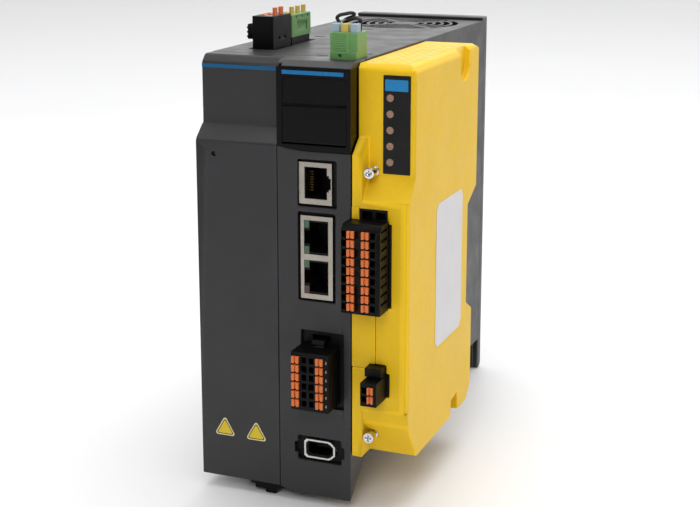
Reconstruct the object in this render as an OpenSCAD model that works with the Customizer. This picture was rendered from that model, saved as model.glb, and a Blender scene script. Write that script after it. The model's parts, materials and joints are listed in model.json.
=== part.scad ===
// Single-axis servo drive with a side-mounted safety module.
// Device coordinates: x from the left side, y from the front face, z from the surface it stands on.

/* [Drive casing] */
// Width of the drive
body_w = 65; // [63:0.5:67]
// Depth of the drive, front face to rear face
body_d = 181; // [178:1:190]
// Height of the top surface above the base
body_h = 177; // [176.6:0.1:177.4]
// Height that the back plate stands above the top surface
rim_h = 1.6; // [1:0.1:4]
// Thickness of the casing walls
wall = 2.2; // [1.8:0.1:2.6]
// Depth of the front covers
cover_d = 16; // [15.5:0.1:16.5]
// Where the left cover meets the right panel
seam_x = 34.5; // [34:0.1:35]
// How far the upper left cover is set back
step_in = 6.3; // [5.5:0.1:7]

/* [Fan] */
// Size of the square fan
fan_size = 50; // [48:1:52]
// Number of fan blades
fan_blades = 7; // [5:1:9]
// Number of ring slots in the fan grille
grille_rings = 5; // [3:1:5]

/* [Terminals] */
// Spacing of the spring terminals
pitch = 3.5; // [3.5:0.01:3.52]
// Rows of the signal plug
signal_rows = 6; // [3:1:6]
// Rows of the safety plug
safety_rows = 9; // [3:1:9]
// Travel of a terminal's release button
button_travel = 1.2; // [0.8:0.1:1.3]

/* [Safety module] */
// Left side of the safety module
safety_x = 65.4; // [65.3:0.1:65.8]
// Right side of the safety module
safety_right = 88; // [87.6:0.1:89]
// Number of status lights
status_lights = 5; // [3:1:5]

/* [Hidden] */

$fn = 48;
eps = 0.02;

charcoal = "#3c3c3e";
black = "#18181a";
gloss_black = "#0c0c0e";
safety_yellow = "#f2c226";
orange = "#e07b3c";
terminal_green = "#6aa552";
lever_yellow = "#d9b040";
blue = "#1d72b8";
silver = "#b8b6b0";
gold = "#c9a04a";
board_green = "#1f5c3a";

// The part's origin is at the centre of its base.
signal_reach = 11.6;
safety_reach = 10.8;
sto_reach = 11.8;
front_y = -max(signal_reach, safety_reach, sto_reach);
trim_t = 0.2;
mid_x = (safety_right + trim_t) / 2;
mid_y = (body_d + front_y) / 2;

module device() translate([-mid_x, -mid_y, 0]) children();

// A box from its low corner to its high corner
module block(low, high) translate(low) cube(high - low);

// A yz outline carried from x0 to x1
module across(x0, x1, outline) translate([x0, 0, 0]) rotate([90, 0, 90])
    linear_extrude(x1 - x0) polygon(outline);

// A flat xz shape carried from y0 to y1
module facing(y0, y1) translate([0, y1, 0]) rotate([90, 0, 0]) linear_extrude(y1 - y0) children();

// A round bar along y from y0 to y1
module bar_y(x, z, r, y0, y1) translate([x, y0, z]) rotate([-90, 0, 0]) cylinder(r = r, h = y1 - y0);

// A rectangle with round corners
module soft_rect(low, high, r) {
    translate([low[0] + r, low[1]]) square([high[0] - low[0] - 2 * r, high[1] - low[1]]);
    translate([low[0], low[1] + r]) square([high[0] - low[0], high[1] - low[1] - 2 * r]);
    for (x = [low[0] + r, high[0] - r], z = [low[1] + r, high[1] - r]) translate([x, z]) circle(r);
}

// ---- Front covers ----
step_low = 144.4;
step_high = 150.1;
edge = 2.9;
lip_z = 4.8;
belly_z = 3.2;
floor_z = 15.5;
under_slope = (floor_z - lip_z) / cover_d;
smile_z = 142.8;
bezel_top = 174.7;
seam_wall = 1.2;
seam_gap = 0.15;
charge_at = [7.6, 139.1];
charge_r = 1;

left_outer = [[0, lip_z], [0, step_low], [step_in, step_high], [step_in, body_h - edge],
    [step_in + edge, body_h], [cover_d, body_h], [cover_d, floor_z]];
left_inner = [[wall, lip_z + wall * under_slope + wall + 0.5], [wall, step_low - 1],
    [step_in + wall, step_high - 1], [step_in + wall, body_h - edge - 1],
    [step_in + edge + 1, body_h - wall], [cover_d + 1, body_h - wall],
    [cover_d + 1, floor_z + under_slope + wall + 0.5]];
brow_outline = [[0, bezel_top], [0, bezel_top + 0.3], [4, body_h], [cover_d, body_h], [cover_d, bezel_top]];

brake_low = [52, 10];
brake_high = [63.7, 21.8];

module brake_opening() block([brake_low[0] - 0.1, brake_low[1] - 0.1, 150],
    [brake_high[0] + 0.1, brake_high[1] + 0.1, body_h + 1]);

// Left cover with the brow that runs over the display
module left_cover() color(charcoal) device() difference() {
    union() {
        across(0, seam_x, left_outer);
        across(seam_x - eps, body_w, brow_outline);
    }
    across(wall, seam_x - seam_wall, left_inner);
    brake_opening();
    bar_y(charge_at[0], charge_at[1], charge_r, -1, wall + 1);
    // relief between the cover and the brow
    block([seam_x - eps, -1, bezel_top - 1], [seam_x + 2.4, 1.6, body_h]);
}

smile_end = 48;
smile_rise = 1.6;
curve_steps = 10;
function smile(x) = x < smile_end ? smile_rise * pow((smile_end - x) / (smile_end - seam_x), 2) : 0;

module panel_front() {
    x0 = seam_x + seam_gap;
    step = (smile_end - x0) / curve_steps;
    polygon(concat(
        [for (i = [0:curve_steps]) [x0 + i * step, belly_z + smile(x0 + i * step)]],
        [[body_w, belly_z], [body_w, smile_z]],
        [for (i = [curve_steps:-1:0]) [x0 + i * step, smile_z + smile(x0 + i * step)]]));
}

signal_window_low = [44.2, 40.7];
signal_window_high = [62.2, 71.9];
single_low = [43.4, 122.1];
single_high = [56.9, 138.4];
dual_low = [43.9, 84.5];
dual_high = [57.2, 117.5];
encoder_mid_z = 22.6;

module panel_windows() {
    soft_rect([43.1, 121.1], [59.2, 139.7], 0.8);
    soft_rect([43.1, 83.7], [58.8, 119.1], 0.8);
    soft_rect(signal_window_low, signal_window_high, 0.6);
    soft_rect([42.4, 17.6], [61, 28], 0.8);
    soft_rect([41, 20.4], [62.2, 25], 0.6);
}

panel_side = 1.2;
panel_column_y = 8.6;

module right_panel() color(charcoal) device() {
    difference() {
        intersection() {
            across(seam_x, body_w,
                [[0, belly_z], [0, smile_z + 3], [cover_d, smile_z + 3], [cover_d, floor_z]]);
            facing(-1, cover_d + 1) panel_front();
        }
        across(seam_x + seam_wall, body_w - wall, [[wall, belly_z + wall * under_slope + wall + 0.5],
            [wall, smile_z + 4], [cover_d + 1, smile_z + 4],
            [cover_d + 1, floor_z + under_slope + wall + 0.5]]);
        facing(-1, wall + 1) panel_windows();
    }
    // side wall that closes the space behind the display
    block([body_w - panel_side, panel_column_y, smile_z - eps], [body_w, cover_d, bezel_top - 0.1]);
}

// ---- Housing, back plate and fan ----
plate_y = body_d - 5;
fan_x = 34;
fan_y = 149;
fan_h = 15;
fan_top = body_h - wall;
grille_r = 25;
grille_web = 1.4;
grille_hub = 5;
spoke_w = 2.4;
mains_low = [9.6, 28.4];
mains_high = [21.6, 69.2];
motor_low = [14, 12];
motor_high = [50, 48];

module grille_slots() {
    ring = (grille_r - grille_hub) / grille_rings;
    difference() {
        translate([fan_x, fan_y, fan_top - 1])
            for (i = [0:grille_rings - 1]) rotate_extrude()
                translate([grille_hub + i * ring + grille_web, 0]) square([ring - grille_web, wall + 2]);
        for (turn = [45, 135]) translate([fan_x, fan_y, 0]) rotate([0, 0, turn])
            block([-grille_r - 1, -spoke_w / 2, fan_top - 2], [grille_r + 1, spoke_w / 2, body_h + 2]);
    }
}

vent_rows = 6;
vent_pitch = 12;
slots = [[27.5, 115.8], [18.9, 80], [45.5, 19.3], [60, 29.1]];
slot_half = [2.4, 0.8];

module main_housing() color(charcoal) device() difference() {
    block([0, cover_d + 0.2, floor_z], [body_w, plate_y, body_h]);
    block([wall, cover_d - 1, floor_z + wall], [body_w - wall, plate_y + 1, body_h - wall]);
    grille_slots();
    // the top is thinner over the fan
    translate([fan_x, fan_y, fan_top - 1]) cylinder(r = grille_r + 0.4, h = wall);
    brake_opening();
    block([mains_low[0] - 0.1, mains_low[1] - 0.1, body_h - wall - 1],
        [mains_high[0] + 0.1, mains_high[1] + 0.1, body_h + 1]);
    block([motor_low[0] + 2, motor_low[1] + 6, floor_z - 1],
        [motor_high[0] - 2, motor_high[1] - 2, floor_z + wall + 1]);
    // latch slots in the top
    for (at = slots) block([at[0] - slot_half[0], at[1] - slot_half[1], body_h - 1],
        [at[0] + slot_half[0], at[1] + slot_half[1], body_h + 1]);
    // air inlets in the left side and the bottom
    for (i = [0:vent_rows - 1]) {
        block([-1, 100, 40 + i * vent_pitch], [wall + 1, 160, 44 + i * vent_pitch]);
        block([8, 100 + i * 9, floor_z - 1], [57, 104 + i * 9, floor_z + wall + 1]);
    }
}

foot_y = 160;
foot_r = 2.5;
bolt_x = 50;
bolt_z = 150;
bolt_r = 2.1;
bolt_mid_z = 96;

// Back plate with the rear foot, four tapped holes and a rim above the top surface
module back_plate() color(charcoal) device() difference() {
    union() {
        block([0, plate_y, foot_r], [body_w, body_d, body_h + rim_h]);
        block([0, plate_y, 0], [body_w, body_d - foot_r, foot_r + eps]);
        block([3, foot_y, 0], [body_w - 3, plate_y + eps, floor_z]);
        translate([0, body_d - foot_r, foot_r]) rotate([0, 90, 0]) cylinder(r = foot_r, h = body_w);
        // the rim reaches forward over the housing's rear edge
        block([0, plate_y - 2, body_h], [body_w, plate_y + eps, body_h + rim_h]);
    }
    for (side = [-1, 1], end = [-1, 1])
        bar_y(body_w / 2 + side * bolt_x / 2, bolt_mid_z + end * bolt_z / 2, bolt_r, plate_y - 1, body_d + 1);
}

sink_front = 122;
sink_plate = 6;
sink_back = plate_y;
sink_fins = 12;
sink_low = 26;
sink_high = 157;
fin_w = 1.6;

module heat_sink() color("silver") device() {
    block([3, sink_front, sink_low], [body_w - 3, sink_front + sink_plate, sink_high]);
    fin_pitch = (body_w - 6 - fin_w) / (sink_fins - 1);
    for (i = [0:sink_fins - 1]) translate([3 + i * fin_pitch, 0, 0])
        block([0, sink_front + sink_plate - eps, sink_low], [fin_w, sink_back, sink_high]);
}

fan_pin_r = 1.5;
fan_run = 0.05;
fan_bore_r = 23.4;
fan_base = 2.4;

module fan_frame() color(black) device() translate([fan_x, fan_y, fan_top - fan_h]) {
    difference() {
        block([-fan_size / 2, -fan_size / 2, 0], [fan_size / 2, fan_size / 2, fan_h]);
        translate([0, 0, -1]) cylinder(r = fan_bore_r, h = fan_h + 2);
        for (x = [-1, 1], y = [-1, 1])
            translate([x * fan_size * 0.43, y * fan_size * 0.43, -1]) cylinder(r = 1.6, h = fan_h + 2);
    }
    cylinder(r = 11, h = fan_base);
    for (turn = [0, 120, 240]) rotate([0, 0, turn]) block([9, -1.5, 0], [fan_bore_r + 0.6, 1.5, fan_base]);
    cylinder(r = fan_pin_r, h = fan_h - 3);
}

module fan_rotor() color("#2a2a2c") device() translate([fan_x, fan_y, fan_top - fan_h]) difference() {
    union() {
        translate([0, 0, fan_base + 0.4]) cylinder(r = 11, h = fan_h - fan_base - 1.2);
        intersection() {
            translate([0, 0, fan_base + 0.4]) difference() {
                cylinder(r = fan_bore_r - 1, h = fan_h - fan_base - 1.2);
                translate([0, 0, -1]) cylinder(r = 10.5, h = fan_h);
            }
            for (i = [0:fan_blades - 1]) rotate([0, 0, i * 360 / fan_blades])
                translate([0, 0, fan_h / 2 + 1]) rotate([40, 0, 0]) block([9, -9, -0.6], [24, 9, 0.6]);
        }
    }
    translate([0, 0, -1]) cylinder(r = fan_pin_r + fan_run, h = fan_h - 1.5);
}

// ---- Display and keys ----
bezel_x0 = seam_x + seam_gap;
bezel_face = -0.2;
bezel_d = 8.4;
window_low = [37, 160.6];
window_high = [63.4, 170.9];
bay_low = [37, 145.2];
bay_high = [63.4, 160];
flap_axis = [0.9, 146.5];
flap_r = 1.1;
flap_t = 1.4;
hinge_r = 0.6;
hinge_run = 0.06;
key_count = 5;
key_pitch = 4.9;
key_x = (bay_low[0] + bay_high[0]) / 2 - key_pitch * (key_count - 1) / 2;
key_z = 153.4;
key_half = 1.7;
key_gap = 0.15;
key_face = 2.4;
bay_back = 4.2;

module bezel_front() {
    x1 = body_w;
    step = (smile_end - bezel_x0) / curve_steps;
    polygon(concat(
        [for (i = [0:curve_steps]) [bezel_x0 + i * step, smile_z + 0.1 + smile(bezel_x0 + i * step)]],
        [[x1, smile_z + 0.1], [x1, bezel_top - 0.1], [bezel_x0, bezel_top - 0.1]]));
}

module display_bezel() color(gloss_black) device() difference() {
    facing(bezel_face, bezel_d) bezel_front();
    // display opening with a rebate for the window
    facing(bezel_face - 1, 1.5) soft_rect(window_low, window_high, 0.8);
    block([window_low[0] + 1, 0, window_low[1] + 0.8],
        [window_high[0] - 1, bezel_d + 1, window_high[1] - 0.8]);
    // key bay behind the flap
    block([bay_low[0], bezel_face - 1, bay_low[1]], [bay_high[0], bay_back, bay_high[1]]);
    for (i = [0:key_count - 1])
        block([key_x + i * key_pitch - key_half - key_gap, bay_back - 1, key_z - key_half - key_gap],
            [key_x + i * key_pitch + key_half + key_gap, 5.6, key_z + key_half + key_gap]);
    block([bay_low[0], 5.4, key_z - 3.4], [bay_high[0], bezel_d + 1, key_z + 3.4]);
    // bores for the flap's pins
    translate([bay_low[0] - 1.4, flap_axis[0], flap_axis[1]]) rotate([0, 90, 0])
        cylinder(r = hinge_r + hinge_run, h = bay_high[0] - bay_low[0] + 2.8);
}

module display_window() color("#101014") device()
    facing(0.1, 1.45) soft_rect(window_low + [0.1, 0.1], window_high - [0.1, 0.1], 0.7);

module display_module() color("#201616") device() {
    block([window_low[0] + 1, 3, window_low[1] + 0.8], [window_high[0] - 1, 8, window_high[1] - 0.8]);
    digit_pitch = 4.4;
    for (i = [0:4]) translate([41.4 + i * digit_pitch, 2.8, 165.8]) {
        for (z = [-2.6, 0, 2.6]) block([-0.9, 0, z - 0.25], [0.9, 0.3, z + 0.25]);
        for (x = [-1.2, 1.2], z = [-1.3, 1.3]) block([x - 0.25, 0, z - 0.9], [x + 0.25, 0.3, z + 0.9]);
    }
}

module key_flap() color(gloss_black) device() {
    x0 = bay_low[0] + 0.15;
    x1 = bay_high[0] - 0.15;
    translate([x0, flap_axis[0], flap_axis[1]]) rotate([0, 90, 0]) cylinder(r = flap_r, h = x1 - x0);
    front = flap_axis[0] - flap_r;
    block([x0, front, flap_axis[1]], [x1, front + flap_t, bay_high[1] - 0.15]);
    translate([x0 - 1.3, flap_axis[0], flap_axis[1]]) rotate([0, 90, 0])
        cylinder(r = hinge_r, h = x1 - x0 + 2.6);
}

module key(place) color("#55565a") device() translate([key_x + place * key_pitch, 0, key_z]) {
    facing(key_face, 6.4) soft_rect([-key_half, -key_half], [key_half, key_half], 0.5);
    block([-key_half - 0.5, 5.8, -key_half - 0.5], [key_half + 0.5, 6.4, key_half + 0.5]);
}

module mode_key() key(0);
module shift_key() key(1);
module up_key() key(2);
module down_key() key(3);
module set_key() key(4);

// ---- Trim ----
stripe_low = 171.9;
stripe_high = 173.4;

module blue_stripes() color(blue) device() {
    block([0.2, step_in - trim_t, stripe_low], [seam_x - 0.1, step_in, stripe_high]);
    block([37.2, bezel_face - trim_t, stripe_low], [62.2, bezel_face, stripe_high]);
}

label_side = 9.6;
label_corner = 0.9;

module triangle_label(x, z) facing(-trim_t, 0) translate([x, z]) union() {
    rise = label_side * 0.866;
    for (p = [[-label_side / 2 + 1.6, label_corner], [label_side / 2 - 1.6, label_corner], [0, rise - 1.8]])
        translate(p) circle(label_corner, $fn = 24);
    polygon([[-label_side / 2 + 1.6, 0], [label_side / 2 - 1.6, 0],
        [label_side / 2 - 1.6 + label_corner * 0.866, label_corner * 1.5],
        [label_corner * 0.866, rise - 1.8 + label_corner / 2],
        [-label_corner * 0.866, rise - 1.8 + label_corner / 2],
        [-label_side / 2 + 1.6 - label_corner * 0.866, label_corner * 1.5]]);
}

module front_labels() color(safety_yellow) device() {
    triangle_label(10.4, 23);
    triangle_label(24.3, 22.8);
}

// ---- Sockets in the right panel ----
frame_t = 1.3;
shell_front = 1;
shell_back = 17;
shell_t = 0.3;
port_h = 11.9;
latch_h = 5.2;
single_port = [46, 130.4];
single_w = 8.6;
single_latch = 1.7;
dual_ports = [[47.6, 109], [47.6, 93.2]];
dual_w = 7.5;
dual_latch = 2.2;
port_depth = 14;

// The mouth of one jack: low x edge and middle z, with its latch on the given side
module port_mouth(at, w, latch, side) {
    translate([at[0], at[1] - port_h / 2]) square([w, port_h]);
    translate([side > 0 ? at[0] + w - eps : at[0] - latch, at[1] - latch_h / 2])
        square([latch + eps, latch_h]);
}

// Opening in the metal shield round the single jack, stepped on the latch side
module single_opening() {
    translate([45.65, 124.2]) square([9.3, 12.4]);
    translate([54.9, single_port[1] - 3.2]) square([0.8, 6.4]);
    translate([55.6, single_port[1] - 2.2]) square([0.9, 4.4]);
}

// Openings in the metal shield round the two stacked jacks
module dual_openings() for (port = dual_ports) translate([45.3, port[1] - 6.75]) square([10.1, 13.5]);

led_size = [2, 3];
led_x = 46.4;
led_rise = 5.15;

module link_led(port, end, gap) translate([led_x, port[1] + end * led_rise])
    square([led_size[0] + 2 * gap, led_size[1] + 2 * gap], center = true);

module link_leds(gap) for (port = dual_ports, end = [-1, 1]) link_led(port, end, gap);

module connector_frame() color(black) device() difference() {
    block([39.8, wall, 14.6], [62.7, wall + frame_t, 141.4]);
    facing(0, 6) {
        soft_rect(single_low - [0.1, 0.1], single_high + [0.1, 0.1], 0.3);
        soft_rect(dual_low - [0.1, 0.1], dual_high + [0.1, 0.1], 0.3);
        soft_rect(signal_window_low + [0.05, 0.05], signal_window_high - [0.05, 0.05], 0.3);
        encoder_outline(0.1);
    }
}

module shell_can(low, high) difference() {
    block([low[0], shell_front, low[1]], [high[0], shell_back, high[1]]);
    block([low[0] + shell_t, shell_front + shell_t, low[1] + shell_t],
        [high[0] - shell_t, shell_back + 1, high[1] - shell_t]);
}

module rj45_shells() color(silver) device() {
    difference() {
        shell_can(single_low, single_high);
        facing(shell_front - 1, shell_front + 1) single_opening();
    }
    difference() {
        shell_can(dual_low, dual_high);
        facing(shell_front - 1, shell_front + 1) dual_openings();
    }
}

insert_gap = 0.02;

module insert_block(low, high) {
    inset = shell_t + insert_gap;
    block([low[0] + inset, shell_front + inset, low[1] + inset],
        [high[0] - inset, shell_back - 0.3, high[1] - inset]);
}

module rj45_inserts() color(black) device() {
    difference() {
        insert_block(single_low, single_high);
        facing(shell_front, shell_front + port_depth) port_mouth(single_port, single_w, single_latch, 1);
    }
    difference() {
        insert_block(dual_low, dual_high);
        facing(shell_front, shell_front + port_depth)
            for (port = dual_ports) port_mouth(port, dual_w, dual_latch, -1);
        facing(shell_front, shell_front + 4) link_leds(0.05);
    }
}

contact_count = 8;
contact_pitch = 1.02;
contact_reach = 1.6;

// Spring contacts along one wall of a jack, with their roots in the insert
module jack_contacts(at, w, side) for (i = [0:contact_count - 1]) {
    z = at[1] + (i - (contact_count - 1) / 2) * contact_pitch;
    contact_x = side > 0 ? at[0] : at[0] + w - contact_reach;
    block([contact_x, 5, z - 0.2], [contact_x + contact_reach, 12.5, z + 0.2]);
}

module socket_contacts() color(gold) device() {
    jack_contacts(single_port, single_w, 1);
    for (port = dual_ports) jack_contacts(port, dual_w, -1);
    for (i = [-1:1], z = [-1, 1])
        translate([51.6 + i * 2.4, 6.5, encoder_mid_z + z * 1.05 - 0.15]) cube([0.8, 2.9, 0.3]);
}

module drive_leds() color("#5f8f5a") device() {
    facing(shell_front + 0.1, shell_front + 3.5) link_leds(0);
    bar_y(charge_at[0], charge_at[1], charge_r - 0.1, 1.9, 4.9);
}

// Outline of the encoder socket: square on the left, narrowing to a nose on the right
module encoder_outline(grow) {
    x0 = 44.9 - grow;
    x1 = 55.4 + grow / 2;
    nose = 58.1 + grow;
    half = 3.95 + grow;
    cut = 1;
    nose_half = 1.9 + grow / 2;
    shoulder = 1.1;
    translate([0, encoder_mid_z]) polygon([[x0, -half + cut], [x0 + cut, -half], [x1, -half],
        [x1 + shoulder, -half + shoulder / 2], [nose, -nose_half], [nose, nose_half],
        [x1 + shoulder, half - shoulder / 2], [x1, half], [x0 + cut, half], [x0, half - cut]]);
}

module encoder_shell() color(silver) device() difference() {
    facing(0.6, 12) encoder_outline(0);
    facing(0, 13) encoder_outline(-0.8);
}

module encoder_insert() color(black) device() {
    difference() {
        facing(1.6, 12) encoder_outline(-0.82);
        facing(0, 10) encoder_outline(-1.5);
    }
    block([48, 6, encoder_mid_z - 0.9], [55.2, 10 + eps, encoder_mid_z + 0.9]);
}

// ---- Spring terminal plugs ----
fit = 0.12;
hole_half = 0.95;
button_h = 2.8;
button_proud = 0.8;
button_d = 5.6;

// Height of the middle of a row of terminals
function row_z(z0, row) = z0 + (row + 0.5) * pitch;

module wire_holes(x, face, z0, rows) for (row = [0:rows - 1])
    block([x - hole_half, face - 1, row_z(z0, row) - 1.2], [x + hole_half, face + 6, row_z(z0, row) + 1.2]);

module button_pockets(x, half, face, z0, rows) for (row = [0:rows - 1])
    block([x - half - fit, face - 1, row_z(z0, row) - button_h / 2 - fit],
        [x + half + fit, face + button_d + button_travel, row_z(z0, row) + button_h / 2 + fit]);

// A column of release buttons, each with a slot for a screwdriver
module buttons(x, half, face, z0, rows) for (row = [0:rows - 1]) difference() {
    block([x - half, face - button_proud, row_z(z0, row) - button_h / 2],
        [x + half, face + button_d - 0.6, row_z(z0, row) + button_h / 2]);
    block([x - 0.35, face - button_proud - 1, row_z(z0, row) - button_h / 2 - 1],
        [x + 0.35, face - button_proud + 1, row_z(z0, row) + button_h / 2 + 1]);
}

signal_x = [44.5, 60];
signal_z = [43, 66.4];
signal_face = -10.8;
signal_z0 = 44.1;
signal_half = 1.5;
signal_cols = [46.4, 56.4];
signal_holes = [49.9, 53];

module signal_header() color(black) device() difference() {
    block([signal_window_low[0] + 0.1, 1.6, signal_window_low[1] + 0.1],
        [signal_window_high[0] - 0.1, 15, signal_window_high[1] - 0.1]);
    block([signal_x[0] + 1.2, 0, signal_z[0] + 1], [signal_x[1] - 1.2, 9, signal_z[1] - 1]);
    // latch slots above and beside the plug
    block([signal_x[0] + 4, 0, signal_z[1] + 1.2], [signal_x[1] - 4, 6, signal_z[1] + 3.6]);
}

module signal_plug() color(black) device() difference() {
    union() {
        block([signal_x[0], signal_face, signal_z[0]], [signal_x[1], 1.4, signal_z[1]]);
        block([signal_x[0] + 1.4, 1.2, signal_z[0] + 1.2], [signal_x[1] - 1.4, 8, signal_z[1] - 1.2]);
        // latch lever on top
        translate([0, 0, signal_z[1]]) across(signal_x[0] + 5.2, signal_x[1] - 5.2,
            [[-2.8, -0.4], [-2.8, 1.2], [-1.6, 2.4], [1.2, 2.4], [1.2, -0.4]]);
    }
    for (x = signal_holes) wire_holes(x, signal_face, signal_z0, signal_rows);
    for (x = signal_cols) button_pockets(x, signal_half, signal_face, signal_z0, signal_rows);
}

module signal_buttons_left() color(orange) device()
    buttons(signal_cols[0], signal_half, signal_face, signal_z0, signal_rows);

module signal_buttons_right() color(orange) device()
    buttons(signal_cols[1], signal_half, signal_face, signal_z0, signal_rows);

safe_x = [65, 80.5];
safe_z = [84, 118.4];
safe_face = -10;
safe_z0 = 84.9;
safe_half = 1.45;
safe_cols = [68.9, 74.7];
safe_holes = [66.15, 77.6];
safe_inner = [[68.2, 85.8], [80, 116.2]];
sto_x = [73.1, 79.7];
sto_z = [48.4, 57.6];
sto_face = -11;
sto_z0 = 49.4;
sto_half = 1.15;
sto_col = 77.2;
sto_hole = 74.6;

module safety_headers() color(black) device() {
    difference() {
        union() {
            block([67.1, 0.2, 84.5], [81.2, 11, 117]);
            block([68.5, 0.2, 117 - eps], [79.8, 8, 122.4]);
        }
        block([safe_inner[0][0] - 0.2, -1, safe_inner[0][1] - 0.2],
            [safe_inner[1][0] + 0.2, 8, safe_inner[1][1] + 0.2]);
        block([69.6, -1, 118.2], [73.6, 5, 121.4]);
        block([75, -1, 118.6], [79, 5, 121.4]);
    }
    difference() {
        union() {
            block([72.6, 0.2, 48.7], [80.7, 11, 58]);
            block([72.6, -5, 58 - eps], [79.4, 8, 61.4]);
        }
        block([sto_x[0] + 0.5, -1, sto_z[0] + 0.6], [sto_x[1] - 0.5, 8, sto_z[1] - 0.6]);
    }
}

safe_chamfer = 2.2;

module safety_plug() color(black) device() difference() {
    union() {
        block([safe_x[0], safe_face, safe_z[0]], [safe_x[1], -0.3, safe_z[1]]);
        block([safe_inner[0][0], -0.4, safe_inner[0][1]], [safe_inner[1][0], 6.6, safe_inner[1][1]]);
    }
    // sloped top edge
    across(safe_x[0] - 1, safe_x[1] + 1, [[safe_face - 1, safe_z[1] - safe_chamfer - 1],
        [safe_face + safe_chamfer + 1, safe_z[1] + 1], [safe_face - 1, safe_z[1] + 1]]);
    for (x = safe_holes) wire_holes(x, safe_face, safe_z0, safety_rows);
    for (x = safe_cols) button_pockets(x, safe_half, safe_face, safe_z0, safety_rows);
    // grip ribs on the right side
    for (row = [0:safety_rows - 1])
        block([safe_x[1] - 0.8, safe_face + 1.2, row_z(safe_z0, row) + 0.9],
            [safe_x[1] + 1, -1.6, row_z(safe_z0, row) + 2]);
}

module safety_buttons_left() color(orange) device()
    buttons(safe_cols[0], safe_half, safe_face, safe_z0, safety_rows);

module safety_buttons_right() color(orange) device()
    buttons(safe_cols[1], safe_half, safe_face, safe_z0, safety_rows);

module sto_plug() color(black) device() difference() {
    union() {
        block([sto_x[0], sto_face, sto_z[0]], [sto_x[1], -0.3, sto_z[1]]);
        block([sto_x[0] + 0.7, -0.4, sto_z[0] + 0.8], [sto_x[1] - 0.7, 6.6, sto_z[1] - 0.8]);
    }
    wire_holes(sto_hole, sto_face, sto_z0, 2);
    button_pockets(sto_col, sto_half, sto_face, sto_z0, 2);
}

module sto_buttons() color(orange) device() buttons(sto_col, sto_half, sto_face, sto_z0, 2);

// ---- Plugs on the top ----
header_low_z = 162;
control_x = [11, 20.2];
control_y = [29.6, 47];
control_top = 190;
mains_y = [48.2, 67.6];
mains_top = 189;
mains_foot = 179.8;
stem_in = 1.8;
lever_w = 3.4;
lever_axis_x = 13.8;
lever_sink = 0.6;
lever_barrel = 1;
lever_t = 1.6;
lever_pin_r = 0.5;
lever_run = 0.06;
lever_end = 1.2;
tip_t = 1.2;
tip_rise = 3.2;
control_levers = [35.4, 41];
mains_levers = [51.8, 57.8, 63.8];

module top_headers() color(black) device() {
    difference() {
        union() {
            block([mains_low[0], mains_low[1], header_low_z], [mains_high[0], mains_high[1], body_h - 0.5]);
            block([mains_low[0] - 1, mains_low[1] - 1, fan_top - 2],
                [mains_high[0] + 1, mains_high[1] + 1, fan_top]);
            // collar that the mains plug stands on
            block([control_x[0] + 0.4, mains_y[0] + 0.6, body_h - 1],
                [control_x[1] - 0.4, mains_y[1] - 0.6, mains_foot - 0.1]);
        }
        block([control_x[0] - 0.15, control_y[0] - 0.15, 168],
            [control_x[1] + 0.15, control_y[1] + 0.15, body_h]);
        block([control_x[0] + stem_in - 0.15, mains_y[0] + stem_in - 0.15, 168],
            [control_x[1] - stem_in + 0.15, mains_y[1] - stem_in + 0.15, mains_foot + 1]);
    }
    difference() {
        union() {
            block([brake_low[0], brake_low[1], header_low_z], [brake_high[0], brake_high[1], body_h - 0.5]);
            block([brake_low[0], brake_high[1] - eps, fan_top - 2],
                [brake_high[0] - 1, brake_high[1] + 1.4, fan_top]);
        }
        block([brake_x[0] - 0.15, brake_y[0] - 0.15, 168], [brake_x[1] + 0.15, brake_y[1] + 0.15, body_h]);
    }
}

module lever_trough(y, top) {
    block([lever_axis_x - 1.6, y - lever_w / 2 - fit, top - 1.8],
        [control_x[1] - lever_end + 0.3, y + lever_w / 2 + fit, top + 1]);
    bar_y(lever_axis_x, top - lever_sink, lever_pin_r + lever_run,
        y - lever_w / 2 - 0.8, y + lever_w / 2 + 0.8);
}

// Clamp lever: it lies along x in its trough, with its tip turned up
module lever(y, top) {
    axis_z = top - lever_sink;
    bar_y(lever_axis_x, axis_z, lever_barrel, y - lever_w / 2, y + lever_w / 2);
    bar_y(lever_axis_x, axis_z, lever_pin_r, y - lever_w / 2 - 0.7, y + lever_w / 2 + 0.7);
    end_x = control_x[1] - lever_end;
    block([lever_axis_x, y - lever_w / 2, top - lever_t], [end_x, y + lever_w / 2, top - 0.1]);
    block([end_x - tip_t, y - lever_w / 2 + 0.4, top - 0.2], [end_x, y + lever_w / 2 - 0.4, top + tip_rise]);
}

module control_plug() color(black) device() difference() {
    union() {
        block([control_x[0], control_y[0], 168.4], [control_x[1], control_y[1], control_top]);
        // ribbed release tab
        block([control_x[0] - 2.8, control_y[0] + 1.4, 180.6], [control_x[0] + eps, control_y[0] + 7, 186.6]);
        for (i = [0:2]) block([control_x[0] - 3.2, control_y[0] + 1.4, 181.2 + i * 1.8],
            [control_x[0] - 2.7, control_y[0] + 7, 182 + i * 1.8]);
    }
    for (y = control_levers) lever_trough(y, control_top);
    for (y = control_levers) translate([control_x[1] - 0.6, y, 181]) rotate([0, 90, 0])
        cylinder(r = 0.7, h = 2);
}

module control_lever_1() color(orange) device() lever(control_levers[0], control_top);
module control_lever_2() color(orange) device() lever(control_levers[1], control_top);

module mains_plug() color(terminal_green) device() difference() {
    union() {
        block([control_x[0], mains_y[0], mains_foot], [control_x[1], mains_y[1], mains_top]);
        block([control_x[0] + stem_in, mains_y[0] + stem_in, 168.4],
            [control_x[1] - stem_in, mains_y[1] - stem_in, mains_foot + eps]);
    }
    for (y = mains_levers) {
        lever_trough(y, mains_top);
        translate([control_x[1] - 0.6, y + 0.8, mains_top - 1.4]) rotate([0, 90, 0]) cylinder(r = 0.6, h = 2);
    }
    block([control_x[1] - 0.4, mains_y[0] + 5.8, 182], [control_x[1] + 1, mains_y[1] - 3.9, 185.6]);
}

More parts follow.
